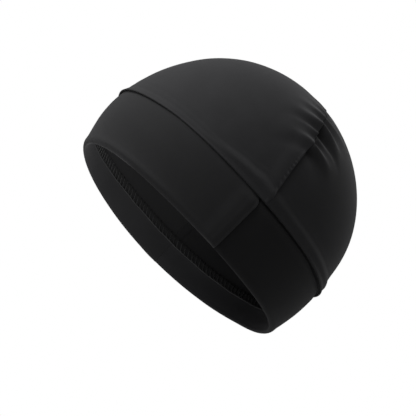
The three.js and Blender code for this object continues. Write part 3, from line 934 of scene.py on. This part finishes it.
def hem_place(angle, above, off):
    """A place on the hem's inner face, above the needle line and off the cloth."""
    rows = [row for row in WALL_ROWS if row["hem"]]
    heights = np.array([row["height"] for row in rows])
    proud = np.interp(above, heights, [row["proud"] for row in rows])
    return band_place(angle, hem_top(angle) + above, proud - off)


def stroke_paths(low, high, stitches, radius):
    """The looper threads' paths, in slanting strokes from the needle line over the cloth's edge."""
    turn = np.linspace(0, stitches, stitches * STROKE_POINTS + 1)
    share = turn % 1
    rise = smooth(share / (1 - STITCH_RETURN)) - smooth((share - 1 + STITCH_RETURN) / STITCH_RETURN)
    above = STITCH_FOOT + (STITCH_TOP - STITCH_FOOT) * rise
    arch = STROKE_OFF + STROKE_ARCH * np.sin(math.pi * rise)
    off = np.where(share < 1 - STITCH_RETURN, arch, STROKE_UNDER)
    lean = STITCH_SLANT * (above - STITCH_FOOT) / radius
    for number in range(STROKE_THREADS):
        shift = number * STROKE_THREAD_STEP / radius
        at = low + (high - low) * np.floor(turn) / stitches - lean - shift
        yield hem_place(np.clip(at, low, high), above, off)


def needle_path(low, high, stitches):
    turn = np.linspace(0, stitches, stitches * NEEDLE_POINTS + 1)
    at = low + (high - low) * turn / stitches
    return hem_place(at, np.zeros_like(at), NEEDLE_OFF + NEEDLE_ARCH * np.abs(np.sin(math.pi * turn)))


def overlock(node, material):
    """A band's hem threads, as one piece: the loopers' strokes and the needle thread."""
    panel = PANELS[node]
    angle, _ = band_columns(panel["facing"])
    low, high = min(angle[0], angle[-1]), max(angle[0], angle[-1])
    radius = (band_size("half_breadth", HEM_RISE) + band_size("half_length", HEM_RISE)) / 2
    stitches = int((high - low) * radius / STITCH_PITCH)
    looper_painted_shade = LOOPER_PAINTED_SHADE[panel["facing"]]
    threads = [(path, THREAD_RADIUS, looper_painted_shade) for path in stroke_paths(low, high, stitches, radius)]
    # The needle thread keeps the full, lighter colour: a painted highlight along its line.
    threads.append((needle_path(low, high, stitches), NEEDLE_RADIUS, 1.0))
    count = 0
    points, faces, tones = [], [], []
    for path, thickness, tone in threads:
        made, joined = tube(path, thickness)
        points.append(made)
        faces.append(joined + count)
        tones.append(np.full(len(made), tone))
        count += len(made)
    joined_up = [np.concatenate(part) for part in (points, faces, tones)]
    return new_piece(panel["threads"], new_mesh(panel["threads"], *joined_up), material)


# Materials

# The knit's stitches in millimetres, and how much their legs slant and stand out
KNIT_WALE = 0.62
KNIT_COURSE = 0.5
KNIT_SLANT = 1.1
KNIT_LEG = 0.35
KNIT_BUMP = 0.6
KNIT_DEPTH = 0.00004

# Colours of the cloth and the thread, from dark to light. The cloth's tone is a mix of a coarse and a fine
# noise, and goes from dark to light between its ends.
JERSEY_DARK = (0.012, 0.012, 0.013)
JERSEY_LIGHT = (0.02, 0.02, 0.0215)
JERSEY_ENDS = (0.3, 0.7)
CLOUD_SHARE = 0.55
FIBRE_SHARE = 0.45
THREAD_DARK = (0.022, 0.022, 0.023)
THREAD_LIGHT = (0.06, 0.06, 0.062)
PLY_BUMP = 0.5
PLY_DEPTH = 0.00005


def new_material(name):
    material = bpy.data.materials.new(name)
    material.use_nodes = True
    tree = material.node_tree
    return material, tree, tree.nodes["Principled BSDF"]


def add_node(tree, kind, **settings):
    node = tree.nodes.new(kind)
    for key, value in settings.items():
        if key in node.inputs:
            node.inputs[key].default_value = value
        else:
            setattr(node, key, value)
    return node


def math_node(tree, operation, first, second=None):
    node = tree.nodes.new("ShaderNodeMath")
    node.operation = operation
    for socket, value in zip(node.inputs, (first, second)):
        if isinstance(value, bpy.types.NodeSocket):
            tree.links.new(value, socket)
        elif value is not None:
            socket.default_value = value
    return node.outputs[0]


def set_inputs(node, values):
    for socket, value in values.items():
        node.inputs[socket].default_value = value


def object_noise(tree, **settings):
    """Noise over the piece's own places."""
    place = tree.nodes.new("ShaderNodeTexCoord").outputs["Object"]
    noise = add_node(tree, "ShaderNodeTexNoise", **settings)
    tree.links.new(place, noise.inputs["Vector"])
    return noise.outputs[0]


def colour_ramp(tree, value, dark, light, ends=(0.0, 1.0)):
    ramp = tree.nodes.new("ShaderNodeValToRGB")
    for number, colour in enumerate((dark, light)):
        element = ramp.color_ramp.elements[number]
        element.position = ends[number]
        element.color = tuple(colour) + (1,)
    tree.links.new(value, ramp.inputs[0])
    return ramp.outputs[0]


def link_bump(tree, height, shader, strength, distance):
    bump = tree.nodes.new("ShaderNodeBump")
    set_inputs(bump, {"Strength": strength, "Distance": distance})
    tree.links.new(height, bump.inputs["Height"])
    tree.links.new(bump.outputs[0], shader.inputs["Normal"])


def knit_height(tree):
    """Rows of jersey stitches, each a pair of slanting legs, from the weave's places in millimetres."""
    place = add_node(tree, "ShaderNodeAttribute", attribute_name="weave")
    split = tree.nodes.new("ShaderNodeSeparateXYZ")
    tree.links.new(place.outputs["Vector"], split.inputs[0])
    across = math_node(tree, "PINGPONG", math_node(tree, "DIVIDE", split.outputs[0], KNIT_WALE), 0.5)
    slant = math_node(tree, "MULTIPLY", across, KNIT_SLANT)
    down = math_node(tree, "ADD", math_node(tree, "DIVIDE", split.outputs[1], KNIT_COURSE), slant)
    leg = math_node(tree, "SINE", math_node(tree, "MULTIPLY", down, 2 * math.pi))
    rib = math_node(tree, "SINE", math_node(tree, "MULTIPLY", across, 2 * math.pi))
    return math_node(tree, "ADD", math_node(tree, "MULTIPLY", leg, KNIT_LEG), rib)


def link_toned(tree, colour, shader):
    """The colour, made lighter or darker by the mesh's own tone, which is painted shade, as the shader's
    base colour.
    """
    own = add_node(tree, "ShaderNodeAttribute", attribute_name="tone")
    toned = tree.nodes.new("ShaderNodeVectorMath")
    toned.operation = "SCALE"
    tree.links.new(colour, toned.inputs[0])
    tree.links.new(own.outputs["Fac"], toned.inputs["Scale"])
    tree.links.new(toned.outputs[0], shader.inputs["Base Color"])


def jersey(name, painted_shade, gloss):
    """Smooth black stretch jersey, with fine knit relief and slight uneven tone. Its colour is lightened or
    darkened by painted shade: the panel's own, and the mesh's tone.
    """
    material, tree, shader = new_material(name)
    cloud = object_noise(tree, Scale=55.0, Detail=4.0, Roughness=0.6)
    fibre = object_noise(tree, Scale=2600.0, Detail=2.0, Roughness=0.7)
    tone = math_node(tree, "ADD", math_node(tree, "MULTIPLY", cloud, CLOUD_SHARE),
                     math_node(tree, "MULTIPLY", fibre, FIBRE_SHARE))
    dark, light = ([painted_shade * v for v in colour] for colour in (JERSEY_DARK, JERSEY_LIGHT))
    link_toned(tree, colour_ramp(tree, tone, dark, light, JERSEY_ENDS), shader)
    rough = tree.nodes.new("ShaderNodeMapRange")
    set_inputs(rough, {"To Min": 0.8, "To Max": 0.95})
    tree.links.new(tone, rough.inputs["Value"])
    tree.links.new(rough.outputs[0], shader.inputs["Roughness"])
    set_inputs(shader, {"Specular IOR Level": gloss, "Sheen Weight": 0.1, "Sheen Roughness": 0.45,
                        "Sheen Tint": (0.8, 0.8, 0.82, 1)})
    link_bump(tree, knit_height(tree), shader, KNIT_BUMP, KNIT_DEPTH)
    return material


def thread(name):
    """Black textured polyester thread, a little shinier than the cloth."""
    material, tree, shader = new_material(name)
    ply = object_noise(tree, Scale=1800.0, Detail=2.0)
    link_toned(tree, colour_ramp(tree, ply, THREAD_DARK, THREAD_LIGHT), shader)
    set_inputs(shader, {"Roughness": 0.55})
    link_bump(tree, ply, shader, PLY_BUMP, PLY_DEPTH)
    return material


def floor_material():
    material, _, shader = new_material("pale_floor")
    set_inputs(shader, {"Base Color": (0.8, 0.8, 0.8, 1), "Roughness": 0.9})
    return material


# Camera, light and floor

CAMERA_CENTRE = Vector((0, 0, 61.17)) * MM
CAMERA_AZIMUTH = math.radians(82.167)
CAMERA_ELEVATION = math.radians(-17.201)
CAMERA_ROLL = math.radians(44.981)
CAMERA_DISTANCE = 1050 * MM
AIM_RIGHT = -19.7 * MM
AIM_UP = -19.6 * MM
CAMERA_LENS = 127.65
SENSOR = 36.0
CLIP_NEAR = 0.05
CLIP_FAR = 50

# Soft lights. right, up and back are the way to each along the picture's axes.
LIGHTS = [
    {"name": "key", "right": -0.28, "up": 1.0, "back": 0.0, "distance": 1.6, "size": 1.3, "power": 19.3},
    {"name": "edge", "right": 0.7, "up": 0.2, "back": -0.7, "distance": 1.6, "size": 1.0, "power": 3.8},
]
INNER_LIGHT = {"size": 0.06, "power": 0.06, "place": (0.035, -0.03, -0.004), "way": (-0.8, -0.58, 0.05)}
AMBIENT = 0.22

FLOOR_DEPTH = -0.8
FLOOR_HALF = 6.0


def picture_axes():
    """The picture's right, its up and the way back to the camera."""
    a, e, r = CAMERA_AZIMUTH, CAMERA_ELEVATION, CAMERA_ROLL
    back = Vector((math.sin(a) * math.cos(e), -math.cos(a) * math.cos(e), math.sin(e)))
    level = Vector((math.cos(a), math.sin(a), 0))
    upright = back.cross(level)
    right = level * math.cos(r) + upright * math.sin(r)
    up = upright * math.cos(r) - level * math.sin(r)
    return right, up, back


def add_camera():
    right, up, back = picture_axes()
    place = CAMERA_CENTRE + back * CAMERA_DISTANCE
    aim = CAMERA_CENTRE + right * AIM_RIGHT + up * AIM_UP
    back = (place - aim).normalized()
    right = (right - back * right.dot(back)).normalized()
    up = back.cross(right)
    data = bpy.data.cameras.new("camera")
    data.lens = CAMERA_LENS
    data.sensor_width = SENSOR
    data.clip_start = CLIP_NEAR
    data.clip_end = CLIP_FAR
    camera = bpy.data.objects.new("camera", data)
    bpy.context.scene.collection.objects.link(camera)
    turn = Matrix((right, up, back)).transposed().to_4x4()
    camera.matrix_world = Matrix.Translation(place) @ turn
    bpy.context.scene.camera = camera


def soft_light(name, size, power, place, way, axis):
    """A soft square light at a place, with an axis of it turned along a way. It shines along its -Z."""
    data = bpy.data.lights.new(name, "AREA")
    data.shape = "SQUARE"
    data.size = size
    data.energy = power
    light = bpy.data.objects.new(name, data)
    bpy.context.scene.collection.objects.link(light)
    light.location = place
    light.rotation_mode = "QUATERNION"
    light.rotation_quaternion = way.to_track_quat(axis, "Y")
    return light


def add_light(name, right, up, back, distance, size, power):
    """A light placed by how far it is along the picture's right, up and back."""
    axes = picture_axes()
    way = (axes[0] * right + axes[1] * up + axes[2] * back).normalized()
    soft_light(name, size, power, CAMERA_CENTRE + way * distance, way, "Z")


def add_inner_light():
    """A small soft light in the mouth, turned to the far side of the hollow."""
    place, way = INNER_LIGHT["place"], Vector(INNER_LIGHT["way"])
    light = soft_light("inner", INNER_LIGHT["size"], INNER_LIGHT["power"], place, way, "-Z")
    light.visible_camera = False


def add_world():
    """A white studio: plain white where it is seen, and a dimmer even light on everything."""
    world = bpy.data.worlds.new("studio")
    bpy.context.scene.world = world
    world.use_nodes = True
    tree = world.node_tree
    tree.nodes.clear()
    seen = add_node(tree, "ShaderNodeBackground", Color=(1, 1, 1, 1), Strength=1.0)
    lit = add_node(tree, "ShaderNodeBackground", Color=(1, 1, 1, 1), Strength=AMBIENT)
    path = tree.nodes.new("ShaderNodeLightPath")
    mix = tree.nodes.new("ShaderNodeMixShader")
    out = tree.nodes.new("ShaderNodeOutputWorld")
    tree.links.new(path.outputs["Is Camera Ray"], mix.inputs[0])
    tree.links.new(lit.outputs[0], mix.inputs[1])
    tree.links.new(seen.outputs[0], mix.inputs[2])
    tree.links.new(mix.outputs[0], out.inputs[0])


def add_floor():
    mesh = bpy.data.meshes.new("floor")
    corners = [(-1, -1), (1, -1), (1, 1), (-1, 1)]
    points = [(x * FLOOR_HALF, y * FLOOR_HALF, FLOOR_DEPTH) for x, y in corners]
    mesh.from_pydata(points, [], [(0, 1, 2, 3)])
    mesh.materials.append(floor_material())
    floor = bpy.data.objects.new("floor", mesh)
    bpy.context.scene.collection.objects.link(floor)


def main():
    add_camera()
    add_world()
    for light in LIGHTS:
        add_light(**light)
    add_inner_light()
    add_floor()
    cloths = {node: crown_panel(node) for node in ("crown_front", "crown_back")}
    bands = ("band_front", "band_back")
    cloths.update({node: band_panel(node) for node in bands})
    stitching = thread("hem_thread")
    threads = {node: [overlock(node, stitching)] for node in bands}
    bpy.context.scene.view_settings.view_transform = "Standard"


main()
